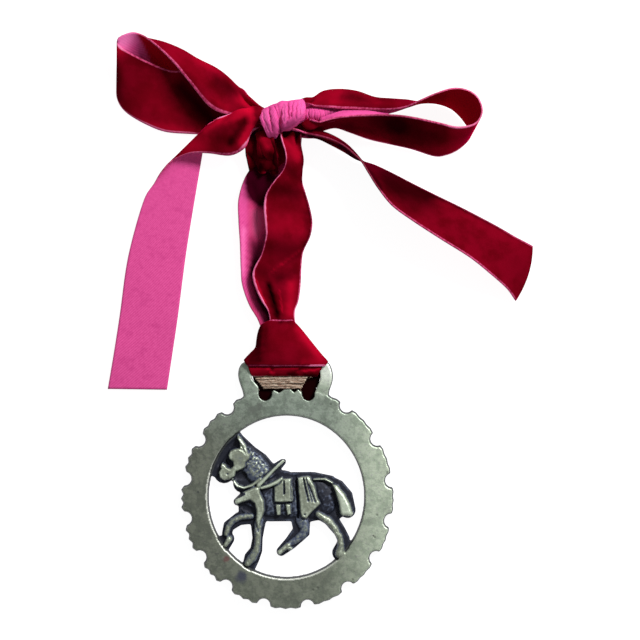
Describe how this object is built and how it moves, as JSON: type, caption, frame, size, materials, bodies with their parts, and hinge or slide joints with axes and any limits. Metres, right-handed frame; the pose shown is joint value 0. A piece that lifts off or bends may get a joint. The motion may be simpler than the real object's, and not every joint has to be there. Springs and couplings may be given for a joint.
{
  "type": "horse brass",
  "caption": "Round cast horse brass with a harnessed walking horse in a pierced ring and a strap hanger, hung on a bow of velvet ribbon, lying flat on its back.",
  "frame": {"origin": "centre of the round window, on the flat back of the casting, where the horse's barrel gives it metal", "axes": "+X to the right and +Y towards the strap hanger and the bow, seen from the front; +Z out of the front of the casting"},
  "size_m": [0.1529, 0.2065, 0.0206],
  "materials": {
    "aged_brass": "old cast brass, dulled to a greenish grey khaki, dark blue-black tarnish in the hollows",
    "velvet_ribbon": "crimson velvet pile on one face, hot pink satin twill on the other, pink selvedges",
    "twine": "tan hemp twine, twisted and dry"
  },
  "bodies": {
    "root": {"horse_brass": "aged_brass", "velvet_ribbon": "velvet_ribbon", "twine": "twine"}
  },
  "joints": []
}
